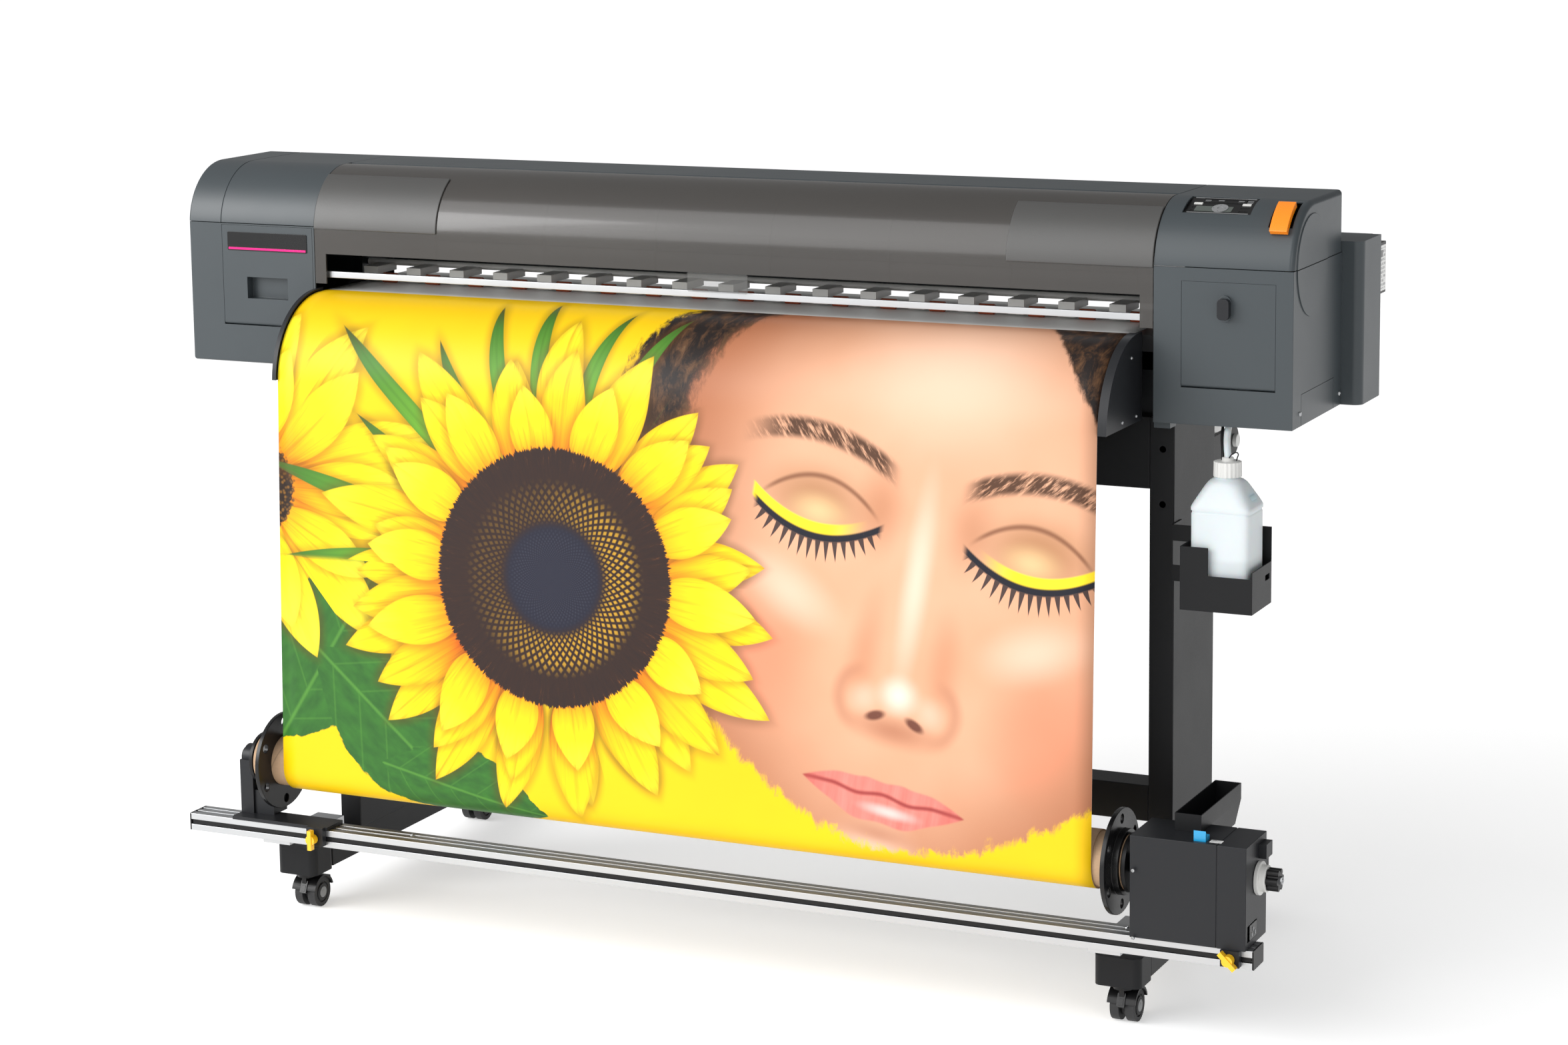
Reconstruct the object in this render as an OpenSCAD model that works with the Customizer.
// Wide-format roll-to-roll inkjet printer on a wheeled stand, with a motor take-up unit.
// X runs along the machine, +Y is the back, +Z is up. The origin is on the floor under the
// middle of the overall box. Inside the modules, X starts at the left side of the body and
// Y at the front face of the covers; place() moves that corner to the origin.

/* [Media] */
// Width of the media web
media_w = 1371; // [900:1:1700]
// Thickness of the media web
media_t = 0.6; // [0.4:0.1:1]
// Radius of the media wound on the take-up core
wound_r = 43; // [42:1:60]
// Radius of the feed roll at the back
feed_r = 62; // [45:1:75]
// Gap between the web and what it passes over
web_gap = 0.3; // [0.2:0.1:0.6]

/* [Body] */
// Width of the left unit
left_w = 240; // [220:1:320]
// Width of the right unit
right_w = 208; // [200:1:300]
// Gap from the left unit to the media edge
gap_left = 10; // [9:1:30]
// Gap from the media edge to the right unit
gap_right = 37; // [30:1:60]
// Height of the underside of the covers above the floor
bottom_z = 884; // [800:1:1000]
// Height of the seam between lower and top covers above the underside
seam_h = 228; // [220:1:260]
// Height of the flat top above the seam
crown_h = 92; // [85:1:99]
// Radius of the rounded front edge of the top covers
arc_r = 100; // [94:1:110]
// Depth of the covers from front face to back
body_d = 243; // [238:1:300]
// Wall thickness of the covers
wall = 3; // [2:0.5:4]

/* [Front cover] */
// Drop of the smoked cover below the seam
cover_drop = 43; // [20:1:50]
// Side clearance of the smoked cover
cover_gap = 1; // [0.5:0.5:2]
// Width of each opaque grip pad
grip_w = 226; // [120:1:300]
// Width of the cover's leg at each end of the window
leg_w = 20; // [12:1:40]
// Number of cover hinges
hinge_n = 4; // [2:1:6]

/* [Paper path] */
// Height of the platen above the underside of the covers
platen_h = 124; // [118:1:130]
// Radius of the curved front apron
apron_r = 130; // [110:1:135]
// Pitch of the pinch arms
pinch_pitch = 80.5; // [60:0.5:120]
// Width of one pinch arm
pinch_w = 26; // [16:1:34]
// Radius of a pinch roller
pinch_r = 8; // [6:0.5:9]
// Radius of the grit roller
grit_r = 9; // [7:0.5:10]

/* [Stand] */
// Underside of the foot beams above the floor
beam_z = 66; // [60:1:80]
// Height of a foot beam
beam_h = 41; // [30:1:60]
// Length of a foot beam
beam_l = 515; // [420:1:600]
// Width of a foot beam
beam_w = 66; // [50:1:80]
// Width of a stand post
post_w = 38; // [30:1:60]
// Depth of a stand post
post_d = 187; // [120:1:200]
// Length of a foot cap
cap_l = 60; // [55:1:80]
// Radius of a caster wheel
caster_r = 24; // [22:1:26]

/* [Take-up] */
// Length of the take-up rail
rail_l = 1796; // [1790:1:1850]
// Depth of the take-up rail
rail_d = 46; // [40:1:60]
// Height of the take-up rail
rail_h = 28; // [20:1:34]
// Outer radius of the take-up core
core_r = 40.5; // [39:0.5:41.5]
// Wall of the take-up core
core_wall = 3; // [2:0.5:4]
// Radius of the guide flanges
flange_r = 78; // [65:1:84]
// Width of the motor unit
motor_w = 173; // [165:1:200]
// Height of the motor unit
motor_h = 151; // [140:1:170]
// Travel of the core follower along the rail
follower_travel = 60; // [20:1:70]

/* [Waste bottle] */
// Width of the waste bottle
bottle_w = 92; // [80:1:96]
// Depth of the waste bottle
bottle_d = 77; // [60:1:80]
// Height of the waste bottle up to its shoulder
bottle_h = 146; // [120:1:150]

/* [Ink] */
// Number of ink cartridges
ink_n = 4; // [4:1:4]
// Width of one ink cartridge
ink_w = 22; // [18:1:30]
// Height of one ink cartridge
ink_h = 98; // [80:1:110]

/* [Hidden] */
$fn = 48;
// Clearances: a running fit on shafts, and a gap between loose neighbours
fit = 0.05;
gap = 0.3;
// Thickness of a glue line
bond = 0.1;
// Main lines along X
media_x0 = left_w + gap_left;
media_x1 = media_x0 + media_w;
right_x0 = media_x1 + gap_right;
body_w = right_x0 + right_w;
// Main lines along Z
seam_z = bottom_z + seam_h;
top_z = seam_z + crown_h;
arc_y = arc_r;
arc_z = top_z - arc_r;
platen_z = bottom_z + platen_h;
foot_top = beam_z + beam_h;
// Feet
cap_front = -105;
foot_front = cap_front + cap_l;
foot_back = foot_front + beam_l;
cap_back = foot_back + cap_l;
post_front = 41;
post_back = post_front + post_d;
post_lx = left_w - 10;
post_rx = right_x0 - 19;
foot_lx = post_lx + post_w - beam_w - 2;
foot_rx = post_rx + post_w - beam_w - 2;
// Ink unit
ink_back = body_d + 102;
ink_x1 = body_w + 31;
ink_top = bottom_z + 244;
// Take-up
rail_x0 = 71;
rail_back = cap_front - 11;
rail_front = rail_back - rail_d;
rail_z = foot_top + 30;
rail_top = rail_z + rail_h;
takeup_y = -112;
takeup_z = rail_top + 93;
motor_x0 = media_x1 + 63;
motor_x1 = motor_x0 + motor_w;
rail_x1 = max(rail_x0 + rail_l, motor_x1 + 10);
motor_y0 = rail_front - 6;
motor_y1 = motor_y0 + 96;
motor_top = rail_top + motor_h;
core_x0 = media_x0 - 60;
core_x1 = media_x1 + 43;
follower_x = media_x0 - 94;
// Front curve of the apron and rear guide
apron_y = -3;
apron_z = platen_z - apron_r;
guide_r = 20;
guide_y = body_d + guide_r;
guide_z = platen_z - guide_r;
feed_y = guide_y + guide_r + 2 * web_gap + media_t + feed_r;
feed_z = bottom_z - 84;
// Outer tangent from the apron curve to the wound roll
wound_gap_r = wound_r + web_gap;
apron_gap_r = apron_r + web_gap;
dy = apron_y - takeup_y;
dz = apron_z - takeup_z;
tangent = asin((wound_gap_r - apron_gap_r) / norm([dy, dz])) + atan2(dy, dz);
// Carriage and its rail
track_y = 165;
track_d = 40;
track_z = platen_z + 54;
track_h = 40;
car_w = 110;
car_x0 = right_x0 + 40;
car_travel = car_x0 - media_x0 - 4;
pinch_y = 125;
pinch_z = platen_z + web_gap + media_t + gap + pinch_r;
grit_z = platen_z - grit_r - 0.4;
arm_y = 172;
arm_z = platen_z + 28;
pinch_n = floor((media_w - 60) / pinch_pitch) + 1;
// Control panel, a plate let into the curved top
panel_x0 = right_x0 + 28;
panel_w = 102;
panel_l = 54;
panel_y = 43;
panel_rise = 19.8;
panel_z = arc_z + sqrt(arc_r * arc_r - pow(arc_y - panel_y, 2)) - 2;
// Hinges
hinge_y = 110;
hinge_z = top_z - 5.5;
hinge_r = 5;
door_r = 6;
lever_x0 = body_w - 40;
lever_w = 26;
// Waste bottle
bottle_x0 = post_rx + post_w + 52;
bottle_y0 = -52;
bottle_z0 = bottom_z - 257;
bottle_cx = bottle_x0 + bottle_w / 2;
neck_y = -12;
shoulder_z = bottle_z0 + bottle_h;
neck_z = shoulder_z + 42;
// The drain tube's route, from the underside of the right unit into the bottle's mouth
DRAIN = [for (p = [[-10, 44, 69], [-10, 40, 46], [-10, 30, 24], [-9, 22, 6], [-7, 10, -6],
            [-3, -4, -14], [0, -12, -22], [0, -12, -40], [0, -12, -58]])
    [bottle_cx + p[0], p[1], bottom_z + p[2]]];
drain_r = 4;
// Overall box, which puts the origin under its middle
knob_x1 = motor_x1 + 33;
all_x1 = max(ink_x1, knob_x1);
all_y0 = min(rail_front - 26, takeup_y - flange_r);
all_y1 = cap_back;

/* Helpers */
module place() { translate([-all_x1 / 2, -(all_y0 + all_y1) / 2, 0]) children(); }
module block(a, b) { translate(a) cube(b - a); }
module along_x(x0, x1) { translate([x0, 0, 0]) rotate([90, 0, 90]) linear_extrude(x1 - x0) children(); }
module rod_x(x0, x1, y, z, r) { translate([x0, y, z]) rotate([0, 90, 0]) cylinder(h = x1 - x0, r = r); }
module rod_y(x, y0, y1, z, r) { translate([x, y0, z]) rotate([-90, 0, 0]) cylinder(h = y1 - y0, r = r); }
module rod_z(x, y, z0, z1, r) { translate([x, y, z0]) cylinder(h = z1 - z0, r = r); }
function arc_points(c, r, a0, a1, n) =
    [for (i = [0:n]) c + r * [cos(a0 + (a1 - a0) * i / n), sin(a0 + (a1 - a0) * i / n)]];
// Side outline of the body above a height: rounded front edge and flat top, inset by t
module side_outline(z0, t) {
    union() {
        translate([arc_y, arc_z]) circle(r = arc_r - t, $fn = 96);
        translate([arc_y, z0]) square([body_d - arc_y - t, top_z - t - z0]);
        translate([t, z0]) square([arc_y - t, max(arc_z - z0, 0.01)]);
    }
}
// One quarter band of the round front edge, between two angles from the front
module edge_band(r0, r1, a0, a1) {
    polygon(concat(arc_points([arc_y, arc_z], r1, 180 - a0, 180 - a1, 24),
        arc_points([arc_y, arc_z], r0, 180 - a1, 180 - a0, 24)));
}
// A panel-frame transform for the control panel
module on_panel() { translate([panel_x0, panel_y, panel_z]) rotate([panel_rise, 0, 0]) children(); }

/* Stand */
module foot_beams() {
    color("#2b2d30")
    place()
    for (x = [foot_lx, foot_rx])
        difference() {
            block([x, foot_front, beam_z], [x + beam_w, foot_back, foot_top]);
            block([x + 3, foot_front - 1, beam_z + 3], [x + beam_w - 3, foot_back + 1, foot_top - 3]);
        }
}
module foot_cap(x, y0, y1, stem_y) {
    difference() {
        union() {
            block([x - 3, y0 + 12, beam_z - 2], [x + beam_w + 3, y1 - 12, foot_top + 2]);
            block([x + 9, y0, beam_z - 2], [x + beam_w - 9, y1, foot_top + 2]);
            for (px = [x + 9, x + beam_w - 9]) for (py = [y0 + 12, y1 - 12])
                rod_z(px, py, beam_z - 2, foot_top + 2, 12);
        }
        rod_z(x + beam_w / 2, stem_y, beam_z - 3, beam_z + 24, 6 + fit);
    }
}
module foot_caps() {
    color("#1b1c1e")
    place()
    for (x = [foot_lx, foot_rx]) {
        foot_cap(x, cap_front, foot_front, cap_front + 32);
        foot_cap(x, foot_back, cap_back, cap_back - 32);
    }
}
module stand_posts() {
    color("#2b2d30")
    place()
    for (x = [post_lx, post_rx])
        difference() {
            block([x, post_front, foot_top], [x + post_w, post_back, bottom_z]);
            block([x + 3, post_front + 3, foot_top - 1], [x + post_w - 3, post_back - 3, bottom_z - 4]);
            for (z = [bottom_z - 47, bottom_z - 129])
                rod_y(x + post_w / 2 + 1, post_front - 1, post_front + 4, z, 5);
        }
}
module stand_beams() {
    x0 = post_lx + post_w;
    color("#2b2d30")
    place() {
        difference() {
            block([x0, post_front, foot_top + 167], [post_rx, post_front + 55, foot_top + 222]);
            block([x0 - 1, post_front + 3, foot_top + 170], [post_rx + 1, post_front + 52, foot_top + 219]);
        }
        block([x0, post_front, bottom_z - 107], [post_rx, post_front + 3, bottom_z]);
        block([x0, post_front + 3, bottom_z - 107], [post_rx, post_front + 28, bottom_z - 104]);
        block([x0, post_back - 40, bottom_z - 40], [post_rx, post_back, bottom_z]);
    }
}

/* Casters: twin wheels on a trailing swivel hood */
trail = 16;
caster_y = [cap_front + 32, cap_front + 32, cap_back - 32, cap_back - 32];
caster_x = [foot_lx + beam_w / 2, foot_rx + beam_w / 2, foot_lx + beam_w / 2, foot_rx + beam_w / 2];
caster_side = [-1, -1, 1, 1];
module caster(i) {
    x = caster_x[i];
    y = caster_y[i];
    wy = y - caster_side[i] * trail;
    color("#161719")
    place() {
        rod_z(x, y, caster_r + 26, beam_z + 22, 6);
        rod_z(x, y, caster_r * 2 + 5.5, beam_z - 2.5, 15);
        difference() {
            union() {
                rod_x(x - 4, x + 4, wy, caster_r, 16);
                block([x - 4, min(y, wy) - 9, caster_r + 8], [x + 4, max(y, wy) + 9, caster_r * 2 + 8]);
                difference() {
                    rod_x(x - 22, x + 22, wy, caster_r, caster_r + 5);
                    rod_x(x - 23, x + 23, wy, caster_r, caster_r + 1.5);
                    block([x - 30, wy - 60, -10], [x + 30, wy + 60, caster_r + 8]);
                }
            }
            rod_x(x - 30, x + 30, wy, caster_r, 4 + fit);
        }
        if (i < 2) block([x - 8, wy + 22, caster_r + 12], [x + 8, wy + 42, caster_r + 16]);
    }
}
module wheels(i) {
    x = caster_x[i];
    wy = caster_y[i] - caster_side[i] * trail;
    color("#242527")
    place() {
        rod_x(x - 21, x + 21, wy, caster_r, 4);
        for (s = [-1, 1])
            difference() {
                rod_x(x + (s > 0 ? 5 : -19), x + (s > 0 ? 19 : -5), wy, caster_r, caster_r);
                rod_x(x + (s > 0 ? 17 : -20), x + (s > 0 ? 20 : -17), wy, caster_r, caster_r - 7);
            }
        for (s = [-1, 1])
            rod_x(x + (s > 0 ? 16 : -20), x + (s > 0 ? 20 : -16), wy, caster_r, caster_r - 10);
    }
}

/* Body covers */
module left_top_cover() {
    color("#5c6265")
    place()
    difference() {
        intersection() {
            along_x(0, left_w) side_outline(seam_z - 60, 0);
            block([-1, -5, seam_z + 0.5], [left_w + 1, body_d + 5, top_z + 5]);
        }
        along_x(wall, left_w + 1) side_outline(seam_z - 60, wall);
        // Groove of the seam between the outer and inner moulding
        difference() {
            along_x(62, 63.5) side_outline(seam_z - 60, -1);
            along_x(61, 65) side_outline(seam_z - 61, 1);
        }
    }
}
module lower_cover(x0, x1, outer) {
    difference() {
        block([x0, 0, bottom_z], [x1, body_d, seam_z - 0.5]);
        block([x0 + (outer < 0 ? wall : -1), wall, bottom_z + wall],
            [x1 + (outer < 0 ? 1 : -wall), body_d - wall, seam_z + 1]);
        children();
    }
}
module left_lower_cover() {
    color("#5a6063")
    place() {
        lower_cover(0, left_w, -1) {
            block([64 - gap, -1, seam_z - 166 - gap], [left_w - 4 + gap, wall + 1, seam_z - 3 + gap]);
            block([120, 20, bottom_z - 1], [180, 50, bottom_z + wall + 1]);
        }
        hinge_lug(52, 64 - gap, seam_z - 160);
        hinge_lug(left_w - 4 + gap, left_w, seam_z - 160);
        rod_x(52, 84, door_r, seam_z - 160, 2);
        rod_x(left_w - 22, left_w, door_r, seam_z - 160, 2);
    }
}
module hinge_lug(x0, x1, z) { block([x0, wall - 1, z - 5], [x1, 11, z + 5]); }
module right_lower_cover() {
    x0 = right_x0;
    color("#565b5e")
    place() {
        lower_cover(x0, body_w, 1) {
            block([x0 + 42 - gap, -1, bottom_z + 54 - gap], [x0 + 182 + gap, wall + 1, bottom_z + 208 + gap]);
            block([bottle_cx - 30, 10, bottom_z - 1], [bottle_cx + 10, 52, bottom_z + wall + 1]);
            // Outline of the side access panel
            difference() {
                block([body_w - 0.8, 42, bottom_z - 1], [body_w + 1, 206, bottom_z + 47]);
                block([body_w - 2, 43.2, bottom_z - 2], [body_w + 2, 204.8, bottom_z + 45.8]);
            }
        }
        block([x0 - 3 + gap, 12, bottom_z - 10], [x0 + 22, 38, bottom_z]);
        hinge_lug(x0 + 30, x0 + 42 - gap, bottom_z + 60);
        hinge_lug(x0 + 182 + gap, x0 + 194, bottom_z + 60);
        rod_x(x0 + 30, x0 + 60, door_r, bottom_z + 60, 2);
        rod_x(x0 + 164, x0 + 194, door_r, bottom_z + 60, 2);
        // Pin of the loading lever
        rod_x(lever_x0 - 2, body_w - 1, arc_y, arc_z, 6);
        // Lower half of the raised round boss on the side
        intersection() {
            rod_x(body_w - 1, body_w + 1.5, 89, seam_z, 74);
            block([body_w - 2, 0, seam_z - 90], [body_w + 3, 200, seam_z - 0.5]);
        }
    }
}
module right_top_cover() {
    color("#5a6063")
    place() {
        difference() {
            intersection() {
                along_x(right_x0, body_w) side_outline(seam_z - 60, 0);
                block([right_x0 - 1, -5, seam_z + 0.5], [body_w + 1, body_d + 5, top_z + 5]);
            }
            along_x(right_x0 - 1, body_w - wall) side_outline(seam_z - 60, wall);
            on_panel() translate([0, 0, -30]) cube([panel_w, panel_l, 60]);
            // Slot for the loading lever
            along_x(lever_x0 - 6, lever_x0 + lever_w + 3) edge_band(arc_r - 12, arc_r + 8, 42, 80);
        }
        intersection() {
            rod_x(body_w - 1, body_w + 1.5, 89, seam_z, 74);
            block([body_w - 2, 0, seam_z + 0.5], [body_w + 3, 200, seam_z + 90]);
        }
    }
}
module rear_cover() {
    x0 = left_w + 1;
    x1 = right_x0 - 1;
    color("#4c5154")
    place() {
        block([x0, hinge_y + 9, top_z - wall], [x1, body_d, top_z]);
        block([x0, body_d - wall, platen_z + 20], [x1, body_d, top_z]);
        block([x0, body_d - wall, bottom_z], [x1, body_d, platen_z - 24 - gap]);
        // Rounded rear media guide, carried on the lower rear panel
        difference() {
            union() {
                rod_x(media_x0 - 2, media_x1 + 2, guide_y, guide_z, guide_r);
                block([media_x0 - 2, body_d - wall, guide_z - guide_r],
                    [media_x1 + 2, guide_y, guide_z - 5]);
            }
            rod_x(media_x0 - 3, media_x1 + 3, guide_y, guide_z, guide_r - 3);
        }
        // Hinge pins and their lugs
        for (i = [0:hinge_n - 1]) {
            hx = hinge_x(i);
            rod_x(hx - 22, hx + 22, hinge_y, hinge_z, 2);
            for (s = [-22, 15])
                difference() {
                    block([hx + s, hinge_y - 4, hinge_z - 5], [hx + s + 7, hinge_y + 10, hinge_z + 3]);
                    block([hx + s - 1, hinge_y - 5, hinge_z + 4], [hx + s + 8, hinge_y - 4, hinge_z + 5]);
                }
        }
    }
}
function hinge_x(i) = left_w + 322 + i * (media_w - 590) / (hinge_n - 1);

/* Structure inside the covers */
module side_frame(x0) {
    difference() {
        along_x(x0, x0 + 4)
            polygon([[12, bottom_z + 66], [235, bottom_z + 66], [235, track_z], [150, track_z],
                [150, platen_z + 2], [108, platen_z + 2], [108, platen_z - 12], [12, platen_z - 12]]);
        rod_x(x0 - 1, x0 + 5, pinch_y, grit_z, 6 + fit);
        rod_x(x0 - 1, x0 + 5, arm_y, arm_z, 5 + fit);
    }
}
module chassis() {
    color("#3a3d40")
    place() {
        difference() {
            block([8, 60, bottom_z + wall], [body_w - 8, 235, bottom_z + 66]);
            block([7, 64, bottom_z + wall + 4], [body_w - 7, 231, bottom_z + 62]);
        }
        for (x = [left_w, post_rx])
            block([x, post_front + 20, bottom_z], [x + post_lx + post_w - left_w - 9, post_back - 5, bottom_z + wall]);
        side_frame(left_w - 8);
        side_frame(right_x0 + 4);
        for (i = [0:6])
            block([media_x0 + 40 + i * (media_w - 86) / 6, 62, bottom_z + 66],
                [media_x0 + 46 + i * (media_w - 86) / 6, 233, platen_z - 24]);
        // Motor of the carriage belt, under its pulley
        difference() {
            block([body_w - 70, 175, track_z - 12], [body_w - 30, 215, track_z + 30]);
            rod_z(pulley_xr, belt_y, track_z + 20, track_z + 31, 5 + fit);
        }
        block([body_w - 66, 180, bottom_z + 66], [body_w - 34, 210, track_z - 12]);
    }
}
module platen() {
    color("#202224")
    place()
    difference() {
        block([left_w + 1, -2.5, platen_z - 24], [right_x0 - 1, body_d - wall, platen_z]);
        block([media_x0 + 2, pinch_y - 11.5, platen_z - 21], [media_x1 - 2, pinch_y + 11.5, platen_z + 1]);
        rod_x(left_w, right_x0, pinch_y, grit_z, 8);
        // Corners cleared for the apron's side plates
        block([left_w, -3, bottom_z], [left_w + 5, 15.5, platen_z + 1]);
        block([media_x1 + 12, -3, bottom_z], [right_x0, 15.5, platen_z + 1]);
        // Vacuum grooves across the print zone
        for (i = [0:16])
            block([media_x0 + 30 + i * (media_w - 64) / 16, 20, platen_z - 1.5],
                [media_x0 + 34 + i * (media_w - 64) / 16, 90, platen_z + 1]);
    }
}
module front_apron() {
    color("#2c2e31")
    place() {
        difference() {
            along_x(left_w + 5, media_x1 + 12)
                polygon(concat([[apron_y, platen_z]],
                    arc_points([apron_y, apron_z], apron_r, 90, 180, 32),
                    arc_points([apron_y, apron_z], apron_r - 3, 180, 90, 32)));
            block([0, -400, 0], [body_w, 200, bottom_z]);
        }
        block([left_w + 5, apron_y - apron_r + 2, bottom_z], [media_x1 + 12, apron_y, bottom_z + 3]);
        block([left_w + 5, apron_y - 3, bottom_z + 3], [media_x1 + 12, apron_y, platen_z - 3]);
        for (i = [0:4])
            block([media_x0 + 100 + i * (media_w - 230) / 4, apron_y, bottom_z + 8],
                [media_x0 + 130 + i * (media_w - 230) / 4, 60, bottom_z + 50]);
    }
}
module apron_plate(x0, x1, lip0, lip1) {
    difference() {
        union() {
            along_x(x0, x1)
                intersection() {
                    union() {
                        translate([apron_y, apron_z]) circle(r = apron_r + 5, $fn = 96);
                        translate([apron_y, apron_z]) square([18, apron_r + 5]);
                    }
                    translate([-300, bottom_z]) square([315, 300]);
                }
            difference() {
                along_x(lip0, lip1)
                    intersection() {
                        difference() {
                            translate([apron_y, apron_z]) circle(r = apron_r + 5, $fn = 96);
                            translate([apron_y, apron_z]) circle(r = apron_r + 2.5, $fn = 96);
                        }
                        translate([-300, bottom_z]) square([298, 300]);
                    }
            }
        }
        for (p = [[-31, 97], [-10, 9], [-70, 9]])
            rod_x(x0 - 1, x1 + 1, p[0], bottom_z + p[1], 2.5);
    }
}
module apron_side_plates() {
    color("#232528")
    place() {
        apron_plate(left_w + 2, left_w + 5, left_w + 2, media_x0 - 1);
        apron_plate(media_x1 + 12, media_x1 + 15, media_x1 + 1.5, media_x1 + 15);
    }
}
module carriage_rail() {
    color("#b9bdc0")
    place() {
        difference() {
            block([20, track_y, track_z], [body_w - 74, track_y + track_d, track_z + track_h]);
            block([19, track_y - 1, track_z + 14], [body_w - 73, track_y + 6, track_z + 26]);
        }
        // Bright bar across the window, which keeps the web down ahead of the print zone
        block([left_w - 4, 8, platen_z + 22], [right_x0 + 4, 14, platen_z + 32]);
        block([left_w - 4, 14, platen_z + 22], [right_x0 + 4, 17, platen_z + 24]);
    }
}

module carriage() {
    x = car_x0;
    color("#1f2123")
    place() {
        difference() {
            block([x, 20, platen_z + 14], [x + car_w, 98, platen_z + 132]);
            block([x - 1, 18, platen_z + 118], [x + car_w + 1, 34, platen_z + 140]);
        }
        block([x + 14, 30, platen_z + 4], [x + car_w - 14, 88, platen_z + 14]);
        block([x + 6, 98, track_z + 4], [x + car_w - 6, track_y - 0.5, track_z + 58]);
        block([x + 6, track_y - 0.5, track_z + track_h + 0.5], [x + car_w - 6, track_y + 4, track_z + 58]);
        for (i = [0:3])
            rod_z(x + 19 + i * 24, 64, platen_z + 132, platen_z + 140, 5);
    }
}
belt_z = track_z + track_h + 4;
pulley_r = 14;
pulley_xr = body_w - 50;
pulley_xl = 50;
belt_y = track_y + 30;
module belt_outline(r) {
    hull() {
        translate([pulley_xl, belt_y]) circle(r = r);
        translate([pulley_xr, belt_y]) circle(r = r);
    }
}
module carriage_belt() {
    color("#26282a")
    place() {
        translate([0, 0, belt_z])
            difference() {
                linear_extrude(8) belt_outline(pulley_r + 1.8);
                translate([0, 0, -1]) linear_extrude(10) belt_outline(pulley_r + 0.3);
            }
        // Fixed idler at the left end
        rod_z(pulley_xl, belt_y, track_z + track_h, belt_z - 1, 6);
        rod_z(pulley_xl, belt_y, belt_z - 1, belt_z + 9, pulley_r);
    }
}
module drive_pulley() {
    color("#9a9ea1")
    place() {
        rod_z(pulley_xr, belt_y, belt_z - 1, belt_z + 9, pulley_r);
        rod_z(pulley_xr, belt_y, track_z + 21, belt_z - 1, 5);
    }
}
module capping_station() {
    x = car_x0 + 4;
    color("#34373a")
    place() {
        block([x, 24, bottom_z + 70], [x + car_w - 8, 58, platen_z - 8]);
        block([x, 58, bottom_z + 66], [x + car_w - 8, 98, platen_z - 8]);
        for (i = [0:3])
            difference() {
                block([x + 8 + i * 23, 34, platen_z - 8], [x + 25 + i * 23, 86, platen_z + 2]);
                block([x + 10 + i * 23, 36, platen_z - 6], [x + 23 + i * 23, 84, platen_z + 3]);
            }
    }
}
function arm_x(i) = media_x0 + 12 + i * pinch_pitch;
module pinch_arms() {
    color("#e8e8e4")
    place() {
        difference() {
            union() {
                for (i = [0:pinch_n - 1]) {
                    block([arm_x(i), pinch_y - 12, pinch_z - 4], [arm_x(i) + pinch_w, pinch_y + 12, arm_z]);
                    block([arm_x(i), pinch_y + 12, arm_z - 12], [arm_x(i) + pinch_w, arm_y, arm_z]);
                }
                rod_x(left_w - 7, right_x0 + 7, arm_y, arm_z, 5);
            }
            rod_x(media_x0, media_x1, pinch_y, pinch_z, 3 + fit);
        }
    }
}
module pinch_rollers() {
    color("#b5652a")
    place() {
        rod_x(media_x0 + 6, media_x1 - 6, pinch_y, pinch_z, 3);
        for (i = [0:pinch_n - 1])
            rod_x(arm_x(i) + pinch_w + 4, min(arm_x(i) + pinch_w + 28, media_x1 - 8), pinch_y, pinch_z, pinch_r);
    }
}
module grit_roller() {
    color("#8e9295")
    place() {
        rod_x(media_x0 + 6, media_x1 - 6, pinch_y, grit_z, grit_r);
        rod_x(left_w - 7, right_x0 + 7, pinch_y, grit_z, 6);
    }
}

/* Front cover, doors and lever */
module front_cover() {
    x0 = left_w + cover_gap;
    x1 = right_x0 - cover_gap;
    z0 = seam_z - cover_drop;
    rib_n = 7;
    color([0.35, 0.33, 0.31, 0.5])
    place() {
        difference() {
            union() {
                along_x(x0, x1) edge_band(arc_r - 3, arc_r, 0, 89.9);
                block([x0, 0, z0], [x1, 3, arc_z]);
                for (x = [x0, x1 - leg_w])
                    block([x, 0, platen_z + 13], [x + leg_w, 3, z0]);
                block([x0, arc_y - 0.5, top_z - 3], [x1, hinge_y - 6, top_z]);
                for (i = [0:rib_n - 1])
                    along_x(rib_x(i), rib_x(i) + 3) {
                        edge_band(arc_r - 10, arc_r - 2, 0, 50);
                        translate([2, z0]) square([8, arc_z - z0]);
                    }
                for (i = [0:hinge_n - 1]) {
                    rod_x(hinge_x(i) - 14.7, hinge_x(i) + 14.7, hinge_y, hinge_z, hinge_r);
                    block([hinge_x(i) - 14.7, hinge_y - 8, hinge_z + 2.5], [hinge_x(i) + 14.7, hinge_y, hinge_z + 5]);
                }
            }
            for (i = [0:hinge_n - 1])
                rod_x(hinge_x(i) - 23, hinge_x(i) + 23, hinge_y, hinge_z, 2 + fit);
        }
    }
}
function rib_x(i) = left_w + 223 + i * (media_w - 205) / 6;
module cover_grips() {
    x0 = left_w + cover_gap;
    x1 = right_x0 - cover_gap;
    color("#4a4f52")
    place()
    for (p = [[x0, x0 + grip_w], [x1 - grip_w, x1]])
        along_x(p[0], p[1])
            intersection() {
                union() {
                    edge_band(arc_r + bond, arc_r + 2.5, 0, 60);
                    translate([-2.5, arc_z - 30]) square([2.5 - bond, 30]);
                }
                translate([-5, seam_z - 3]) square([100, 100]);
            }
}
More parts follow.
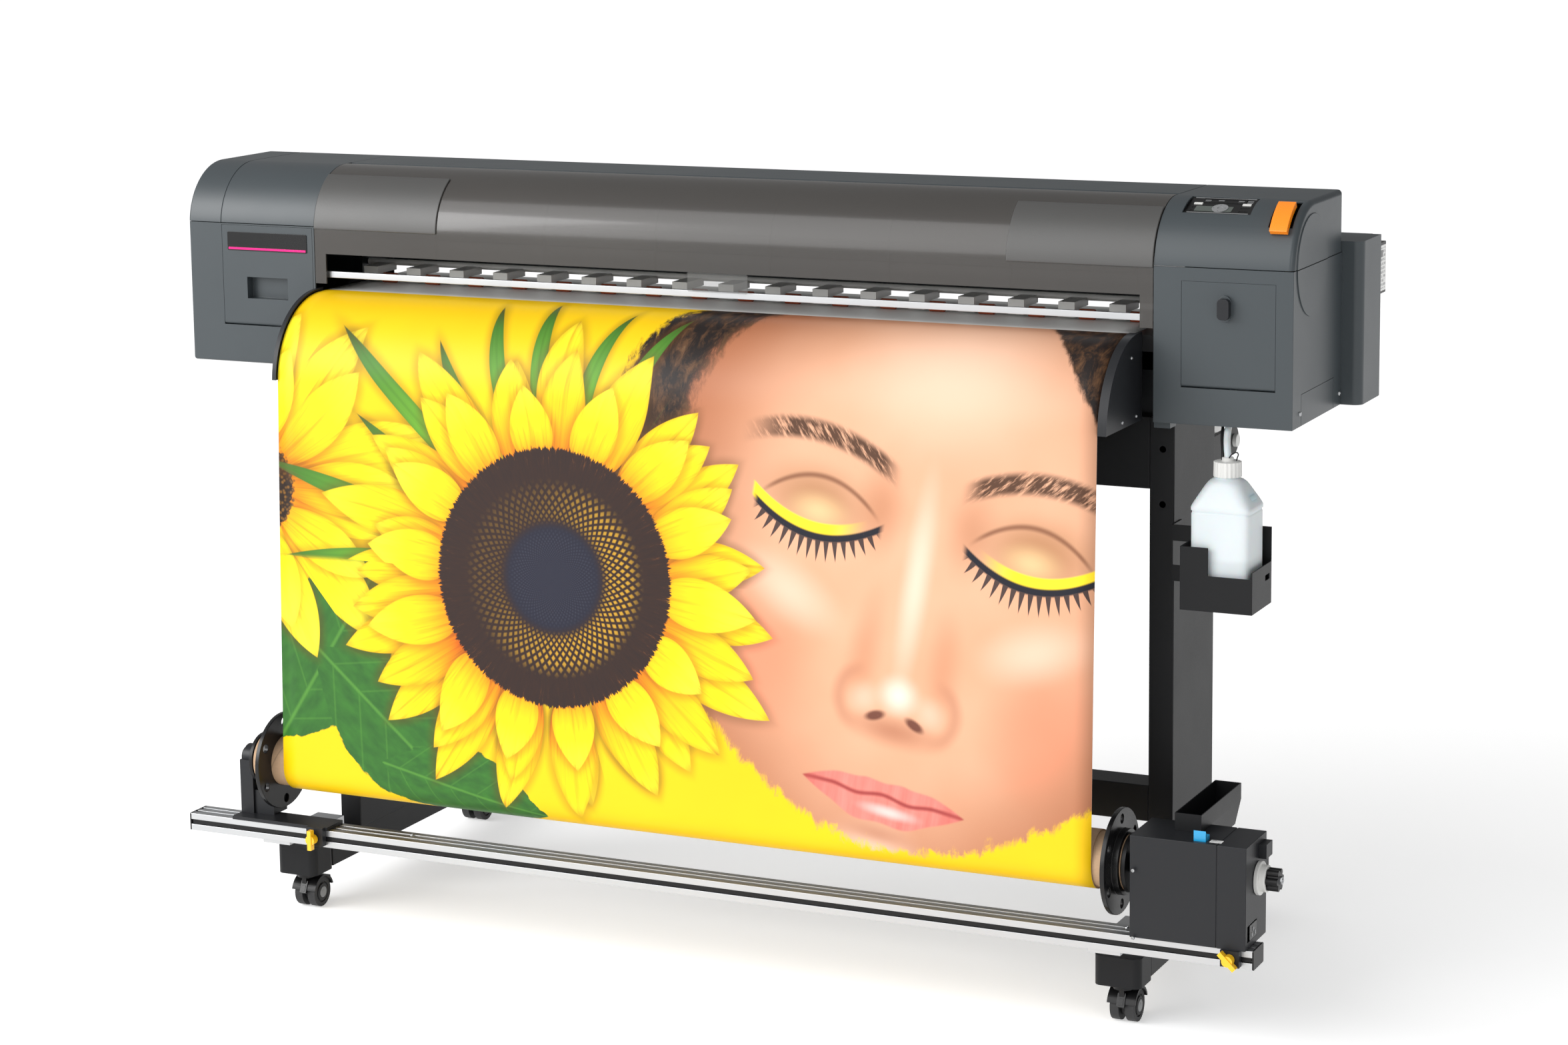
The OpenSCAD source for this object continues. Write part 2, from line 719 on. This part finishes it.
module door(x0, x1, z0, z1) {
    difference() {
        union() {
            block([x0, 0, z0 + door_r], [x1, wall, z1]);
            rod_x(x0, x1, door_r, z0 + door_r, door_r);
        }
        rod_x(x0 - 1, x1 + 1, door_r, z0 + door_r, 2 + fit);
        children();
    }
}
module left_door() {
    x0 = 64;
    x1 = left_w - 4;
    z0 = seam_z - 166;
    color("#63696c")
    place() {
        door(x0, x1, z0, seam_z - 3)
            block([x0 + 46, -1, z0 + 44], [x0 + 123, wall + 1, z0 + 79]);
        // Finger recess behind the opening
        difference() {
            block([x0 + 43, wall - 1, z0 + 41], [x0 + 126, 18, z0 + 82]);
            block([x0 + 46, wall - 2, z0 + 44], [x0 + 123, 16, z0 + 79]);
        }
    }
}
module right_door() {
    x0 = right_x0 + 42;
    z0 = bottom_z + 54;
    color("#4a4f52")
    place() {
        door(x0, x0 + 140, z0, z0 + 154);
        translate([x0 + 66, -5, z0 + 117])
            rotate([90, 0, 0])
                translate([0, 0, -5])
                    linear_extrude(5)
                        union() {
                            translate([-9, -10]) square([18, 20]);
                            translate([0, 10]) circle(r = 9);
                            translate([0, -10]) circle(r = 9);
                        }
    }
}
module loading_lever() {
    x0 = lever_x0;
    color("#ff7a00")
    place() {
        difference() {
            union() {
                rod_x(x0, x0 + lever_w - 3, arc_y, arc_z, 13);
                along_x(x0 + 4, x0 + lever_w - 8)
                    edge_band(10, arc_r + 4, 47, 53);
                along_x(x0, x0 + lever_w) edge_band(arc_r + 2, arc_r + 11, 35, 66);
            }
            rod_x(x0 - 1, x0 + lever_w + 1, arc_y, arc_z, 6 + fit);
        }
    }
}

/* Control panel */
module key_well(x, y, w, h) { translate([x - gap, y - gap, -8]) cube([w + 2 * gap, h + 2 * gap, 20]); }
module control_panel() {
    color("#17181a")
    place()
    on_panel()
    difference() {
        union() {
            translate([0, 0, -6]) cube([panel_w, panel_l, 6]);
            translate([18, 37, -0.5]) cube([66, 13, 1.3]);
        }
        translate([21, 39, 0]) cube([60, 9, 2]);
        translate([51, 19, -8]) cylinder(h = 20, r = 12 + gap);
        key_well(8, 30, 13, 5);
        key_well(81, 30, 13, 5);
        // Blank wells beside the pad
        for (x = [8, 81]) for (y = [8, 19])
            translate([x, y, -0.6]) cube([13, 5, 2]);
    }
}
module menu_key() { color("#d9dbdc") place() on_panel() translate([8, 30, -4]) cube([13, 5, 5.4]); }
module pause_key() { color("#d9dbdc") place() on_panel() translate([81, 30, -4]) cube([13, 5, 5.4]); }
module cursor_pad() {
    color("#c9cccd")
    place() on_panel()
    translate([51, 19, -4])
        difference() {
            cylinder(h = 5.4, r = 12);
            translate([0, 0, 4.6]) cylinder(h = 2, r = 4);
            for (a = [0:90:270])
                rotate([0, 0, a]) translate([7.5, -1.5, 4.8]) cube([2.6, 3, 2]);
        }
}

/* Ink unit and cartridges */
ink_pitch = 50;
function ink_x(i) = ink_x1 - 14 - ink_w / 2 - i * ink_pitch;
module ink_unit() {
    x0 = right_x0 + 8;
    zc = ink_top - 14 - ink_h;
    color("#4c5154")
    place()
    difference() {
        union() {
            block([x0, body_d, bottom_z], [ink_x1 - 14, ink_back, ink_top]);
            block([x0, body_d + 14, bottom_z], [ink_x1, ink_back - 3, ink_top]);
            rod_z(ink_x1 - 14, body_d + 14, bottom_z, ink_top, 14);
        }
        for (i = [0:ink_n - 1])
            block([ink_x(i) - ink_w / 2 - gap, body_d + 12, zc - gap],
                [ink_x(i) + ink_w / 2 + gap, ink_back + 1, zc + ink_h + gap]);
    }
}
module ink_cartridge(i) {
    zc = ink_top - 14 - ink_h;
    color("#f0f0ee")
    place()
    difference() {
        block([ink_x(i) - ink_w / 2, body_d + 16, zc], [ink_x(i) + ink_w / 2, ink_back + 38, zc + ink_h]);
        block([ink_x(i) - ink_w / 2 - 1, ink_back + 22, zc + 30], [ink_x(i) - ink_w / 2 + 2, ink_back + 34, zc + 68]);
        block([ink_x(i) + ink_w / 2 - 2, ink_back + 22, zc + 30], [ink_x(i) + ink_w / 2 + 1, ink_back + 34, zc + 68]);
    }
}

/* Media: rear web, print zone, apron and the free drop to the take-up roll */
module web_side(t) {
    a = [apron_y, apron_z];
    b = [guide_y, guide_z];
    polygon(concat(
        [[guide_y + guide_r + web_gap + media_t, feed_z]],
        arc_points(b, guide_r + web_gap + media_t, 0, 90, 12),
        arc_points(a, apron_r + web_gap + media_t, 90, 180 - tangent, 32),
        [[takeup_y, takeup_z] + (wound_gap_r + media_t) * [-cos(tangent), sin(tangent)]],
        [[takeup_y, takeup_z] + wound_gap_r * [-cos(tangent), sin(tangent)]],
        arc_points(a, apron_gap_r, 180 - tangent, 90, 32),
        arc_points(b, guide_r + web_gap, 90, 0, 12),
        [[guide_y + guide_r + web_gap, feed_z]]));
}
module media_web() { color("#f4d42c") place() along_x(media_x0, media_x1) web_side(media_t); }
module roll_holders() {
    color("#2b2d30")
    place()
    for (x = [left_w - 8, right_x0 + 4])
        difference() {
            union() {
                block([x, post_back, feed_z - 22], [x + 8, feed_y, feed_z + 22]);
                rod_x(x, x + 8, feed_y, feed_z, 22);
            }
            rod_x(x - 1, x + 9, feed_y, feed_z, 10 + fit);
        }
}
module feed_roll() {
    color("#f2f2f0")
    place() {
        rod_x(media_x0, media_x1, feed_y, feed_z, feed_r);
        rod_x(left_w - 14, right_x0 + 18, feed_y, feed_z, 10);
        for (x = [media_x0 - 5, media_x1])
            rod_x(x, x + 5, feed_y, feed_z, feed_r + 12);
    }
}

/* Take-up unit */
module takeup_rail() {
    color("#c3c7ca")
    place() {
        difference() {
            block([rail_x0, rail_front, rail_z], [rail_x1, rail_back, rail_top]);
            block([rail_x0 - 1, rail_front - 1, rail_z + 10], [rail_x1 + 1, rail_front + 7, rail_z + 18]);
            for (y = [rail_front + 12, rail_front + 28])
                block([rail_x0 - 1, y, rail_top - 4], [rail_x1 + 1, y + 6, rail_top + 1]);
        }
        // Brackets from the foot beams to the rail
        for (x = [foot_lx, foot_rx]) {
            block([x + 8, rail_front + 4, rail_z - 6], [x + beam_w - 8, foot_front + 50, rail_z]);
            block([x + 8, foot_front + 4, foot_top], [x + beam_w - 8, foot_front + 50, rail_z - 6]);
        }
    }
}
module star_knob(x, y, z, h) {
    rod_x(x, x + h, y, z, 12);
    for (a = [0:60:300])
        rod_x(x + 1, x + h, y + 12 * cos(a), z + 12 * sin(a), 5);
}
module takeup_housing() {
    color("#2a2c2f")
    place() {
        difference() {
            union() {
                block([motor_x0, motor_y0, rail_top], [motor_x1, motor_y1, motor_top]);
                block([motor_x1, motor_y1 - 36, takeup_z + 27], [motor_x1 + 11, motor_y1 - 8, motor_top - 10]);
                block([motor_x1 - 36, rail_front - 11, rail_top - 24], [motor_x1 - 8, rail_front - 0.3, rail_top]);
            }
            // Seam line round the end cover
            difference() {
                block([motor_x1 - 44, motor_y0 - 1, rail_top - 1], [motor_x1 - 42.5, motor_y1 + 1, motor_top + 1]);
                block([motor_x1 - 46, motor_y0 + 1, rail_top - 2], [motor_x1 - 40, motor_y1 - 1, motor_top - 1]);
            }
            rod_x(motor_x0 - 1, motor_x1 + 1, takeup_y, takeup_z, 14 + fit);
            // Switch well in the top
            block([motor_x1 - 82, motor_y0 + 8, motor_top - 14], [motor_x1 - 62, motor_y0 + 30, motor_top + 1]);
            // Power inlet on the end face
            block([motor_x1 - 14, motor_y0 + 8, rail_top + 10], [motor_x1 + 1, motor_y0 + 52, rail_top + 34]);
            rod_y(motor_x1 - 22, rail_front - 12, rail_front + 1, rail_top - 12, 4 + fit);
        }
        for (i = [0:2])
            block([motor_x1 - 14, motor_y0 + 17 + i * 11, rail_top + 19],
                [motor_x1 - 4, motor_y0 + 19 + i * 11, rail_top + 25]);
        rod_x(motor_x1 - 83, motor_x1 - 78, motor_y0 + 19, motor_top - 3, 2);
        rod_x(motor_x1 - 66, motor_x1 - 61, motor_y0 + 19, motor_top - 3, 2);
    }
}
module takeup_shaft() {
    color("#e6e7e6")
    place() {
        rod_x(core_x1 - 30, core_x1 + 2, takeup_y, takeup_z, core_r - core_wall - gap);
        rod_x(core_x1 + 2, core_x1 + 8, takeup_y, takeup_z, core_r + 3);
        rod_x(core_x1 + 8, motor_x1 + 4, takeup_y, takeup_z, 14);
        rod_x(motor_x1 + 0.5, motor_x1 + 5, takeup_y, takeup_z, 24);
        star_knob(motor_x1 + 5, takeup_y, takeup_z, 28);
    }
}
module takeup_roll() {
    color("#b58a5a")
    place()
    difference() {
        union() {
            rod_x(core_x0, core_x1, takeup_y, takeup_z, core_r);
            rod_x(media_x0, media_x1, takeup_y, takeup_z, wound_r);
        }
        rod_x(core_x0 - 1, core_x1 + 1, takeup_y, takeup_z, core_r - core_wall);
    }
}
module guide_flange(x0, x1, hub0, hub1) {
    difference() {
        union() {
            rod_x(x0, x1, takeup_y, takeup_z, flange_r);
            rod_x(hub0, hub1, takeup_y, takeup_z, core_r + 8);
        }
        rod_x(x0 - 12, x1 + 12, takeup_y, takeup_z, core_r + fit);
        for (a = [0:60:300])
            translate([0, takeup_y, takeup_z]) rotate([a, 0, 0])
                rod_x(x0 - 2, x1 + 2, 0, core_r + 23, 7);
    }
}
module guide_flanges() {
    color("#121315")
    place() {
        guide_flange(media_x0 - 32, media_x0 - 25, media_x0 - 42, media_x0 - 31);
        guide_flange(media_x1 + 25, media_x1 + 32, media_x1 + 31, media_x1 + 42);
    }
}
module takeup_follower() {
    x = follower_x;
    color("#2a2c2f")
    place()
    difference() {
        union() {
            block([x, rail_front - 4, rail_top + gap], [x + 178, rail_back - 2, rail_top + 6]);
            block([x, takeup_y - 28, rail_top + 6], [x + 24, takeup_y + 20, takeup_z]);
            rod_x(x, x + 24, takeup_y, takeup_z, 20);
            block([x + 24, takeup_y - 24, rail_top + 6], [x + 60, takeup_y + 14, rail_top + 44]);
            block([x + 144, rail_front - 11, rail_top - 24], [x + 174, rail_front - gap, rail_top + 6]);
        }
        rod_x(x - 1, x + 25, takeup_y, takeup_z, 10 + fit);
        rod_y(x + 158, rail_front - 12, rail_front + 1, rail_top - 12, 4 + fit);
    }
}
module follower_spindle() {
    x = follower_x;
    color("#e6e7e6")
    place() {
        rod_x(x - 3, core_x0 + 30, takeup_y, takeup_z, 10);
        rod_x(core_x0 - 8, core_x0 - 2, takeup_y, takeup_z, core_r + 0.5);
        rod_x(core_x0 - 2, core_x0 + 30, takeup_y, takeup_z, core_r - core_wall - gap);
        rod_x(x - 6, x - 0.5, takeup_y, takeup_z, 14);
    }
}
module wing_knob(x, turn) {
    z = rail_top - 12;
    color("#ffc20e")
    place() {
        rod_y(x, rail_front - 13, rail_front - 2, z, 4);
        rod_y(x, rail_front - 24, rail_front - 12, z, 8);
        translate([x, 0, z]) rotate([0, turn, 0])
            block([-16, rail_front - 26, -3.5], [16, rail_front - 16, 3.5]);
    }
}
module follower_knob() { wing_knob(follower_x + 158, 90); }
module unit_knob() { wing_knob(motor_x1 - 22, 45); }
module takeup_switch() {
    y = motor_y0 + 19;
    z = motor_top - 3;
    color("#12a0d8")
    place()
    difference() {
        along_x(motor_x1 - 81, motor_x1 - 63)
            polygon([[y - 9, z], [y, z - 5], [y + 9, z], [y + 9, z + 9], [y - 1, z + 8], [y - 9, z + 18]]);
        rod_x(motor_x1 - 82, motor_x1 - 62, y, z, 2 + fit);
    }
}
module trough(y0, y1, t) {
    x0 = motor_x1 - 122;
    top = motor_top + 26 + (t > 0 ? 1 : 0);
    translate([0, y1, 0]) rotate([90, 0, 0]) linear_extrude(y1 - y0)
        polygon([[x0 + t, top], [x0 + t, motor_top - 4], [x0 + 7 + t, motor_top - 38 + t],
            [x0 + 31 - t, motor_top - 38 + t], [x0 + 40 - t, motor_top + 2], [x0 + 40 - t, top]]);
}
module accessory_tray() {
    x0 = motor_x1 - 122;
    color("#232528")
    place()
    difference() {
        union() {
            block([x0, motor_y0 + 48, motor_top], [x0 + 40, motor_y1 + 3, motor_top + 26]);
            trough(motor_y1 + 0.5, motor_y1 + 137, 0);
        }
        block([x0 + 1.5, motor_y0 + 49.5, motor_top + 2], [x0 + 38.5, motor_y1 + 4, motor_top + 27]);
        trough(motor_y1 + 2, motor_y1 + 135.5, 1.5);
    }
}

/* Waste bottle */
module bottle_outline(t) {
    w = bottle_w - 2 * t;
    d = bottle_d - 2 * t;
    r = 14 - t;
    translate([bottle_x0 + t, bottle_y0 + t]) {
        translate([r, 0]) square([w - 2 * r, d]);
        translate([0, r]) square([w, d - 2 * r]);
        for (x = [r, w - r]) for (y = [r, d - r])
            translate([x, y]) circle(r = r, $fn = 32);
    }
}
module bottle_solid(t) {
    translate([0, 0, bottle_z0 + t]) linear_extrude(bottle_h - t) bottle_outline(t);
    hull() {
        translate([0, 0, shoulder_z - 0.01]) linear_extrude(0.02) bottle_outline(t);
        rod_z(bottle_cx, neck_y, neck_z - 14, neck_z - 12, 20 - t);
    }
    rod_z(bottle_cx, neck_y, neck_z - 14, neck_z + (t > 0 ? 60 : 0), 18 - t);
    // Hump that leads into the handle
    intersection() {
        rod_y(bottle_cx + 23, bottle_y0 + 20 + t, bottle_y0 + bottle_d - 20 - t, shoulder_z - 2, 22 - t);
        block([bottle_cx, bottle_y0, shoulder_z - 8], [bottle_x0 + bottle_w - t, bottle_y0 + bottle_d, neck_z]);
    }
}
module waste_bottle() {
    color([0.93, 0.93, 0.9, 0.8])
    place() {
        difference() {
            bottle_solid(0);
            bottle_solid(2);
            // Belt groove round the body
            translate([0, 0, shoulder_z - 6])
                difference() {
                    linear_extrude(3) bottle_outline(-5);
                    translate([0, 0, -1]) linear_extrude(5) bottle_outline(0.8);
                }
        }
        difference() {
            union() {
                rod_z(bottle_cx, neck_y, neck_z, neck_z + 22, 21);
                rod_z(bottle_cx, neck_y, neck_z + 22, neck_z + 28, 9);
            }
            rod_z(bottle_cx, neck_y, neck_z - 1, neck_z + 30, 6.5);
        }
    }
}
module bottle_holder() {
    x0 = bottle_x0 - 9;
    x1 = bottle_x0 + bottle_w + 7;
    y0 = bottle_y0 - 8;
    y1 = bottle_y0 + bottle_d + 7;
    z0 = bottle_z0 - 2;
    arm_x0 = post_rx + post_w;
    color("#303235")
    place() {
        block([x0, y0, z0], [x1, y1, z0 + 2]);
        translate([0, y0 + 2, 0]) rotate([90, 0, 0]) linear_extrude(2)
            polygon([[x0, z0], [x1, z0], [x1, z0 + 52], [x0 + 42, z0 + 52], [x0 + 42, z0 + 93], [x0, z0 + 93]]);
        block([x0, y0, z0], [x0 + 2, y1, z0 + 93]);
        difference() {
            block([x1 - 2, y0, z0], [x1, y1, z0 + 62]);
            block([x1 - 3, y1 - 30, z0 + 38], [x1 + 1, y1 - 10, z0 + 46]);
        }
        block([x0, y1 - 2, z0], [x1, y1, z0 + 112]);
        for (z = [z0 + 20, z0 + 80])
            block([arm_x0, y1 - 2, z], [x0, y1, z + 24]);
        block([arm_x0, y1 - 2, z0 + 20], [arm_x0 + 2, y1 + 40, z0 + 104]);
    }
}

/* Drain tube, swept along its route */
tube_sides = 8;
function unit(v) = v / norm(v);
function route_dir(p, i) = unit(p[min(i + 1, len(p) - 1)] - p[max(i - 1, 0)]);
function ring(c, d, r) =
    let (u = unit(cross(d, [0, 1, 0.001])), v = cross(d, u))
    [for (k = [0:tube_sides - 1]) c + r * (cos(k * 360 / tube_sides) * u + sin(k * 360 / tube_sides) * v)];
module tube(p, r) {
    n = len(p);
    pts = [for (i = [0:n - 1]) each ring(p[i], route_dir(p, i), r)];
    sides = [for (i = [0:n - 2]) for (k = [0:tube_sides - 1])
        let (a = i * tube_sides, b = a + tube_sides, k1 = (k + 1) % tube_sides)
        [a + k, a + k1, b + k1, b + k]];
    ends = [[for (k = [tube_sides - 1:-1:0]) k], [for (k = [0:tube_sides - 1]) (n - 1) * tube_sides + k]];
    polyhedron(points = pts, faces = concat(sides, ends));
}
module drain_tube() { color("#c9ccc8") place() tube(DRAIN, drain_r); }

foot_beams();
foot_caps();
stand_posts();
stand_beams();
chassis();
left_top_cover();
left_lower_cover();
right_top_cover();
right_lower_cover();
rear_cover();
ink_unit();
platen();
front_apron();
apron_side_plates();
carriage_rail();
capping_station();
bottle_holder();
drain_tube();
accessory_tray();
takeup_rail();
takeup_housing();
roll_holders();
media_web();
control_panel();
carriage_belt();
front_cover();
cover_grips();
left_door();
right_door();
loading_lever();
pinch_arms();
pinch_rollers();
grit_roller();
carriage();
drive_pulley();
menu_key();
cursor_pad();
pause_key();
takeup_follower();
follower_spindle();
follower_knob();
takeup_shaft();
takeup_roll();
guide_flanges();
unit_knob();
takeup_switch();
waste_bottle();
feed_roll();
caster(0);  // caster_1
caster(1);  // caster_2
caster(2);  // caster_3
caster(3);  // caster_4
wheels(0);  // wheels_1
wheels(1);  // wheels_2
wheels(2);  // wheels_3
wheels(3);  // wheels_4
ink_cartridge(0);  // ink_cartridge_1
ink_cartridge(1);  // ink_cartridge_2
ink_cartridge(2);  // ink_cartridge_3
ink_cartridge(3);  // ink_cartridge_4
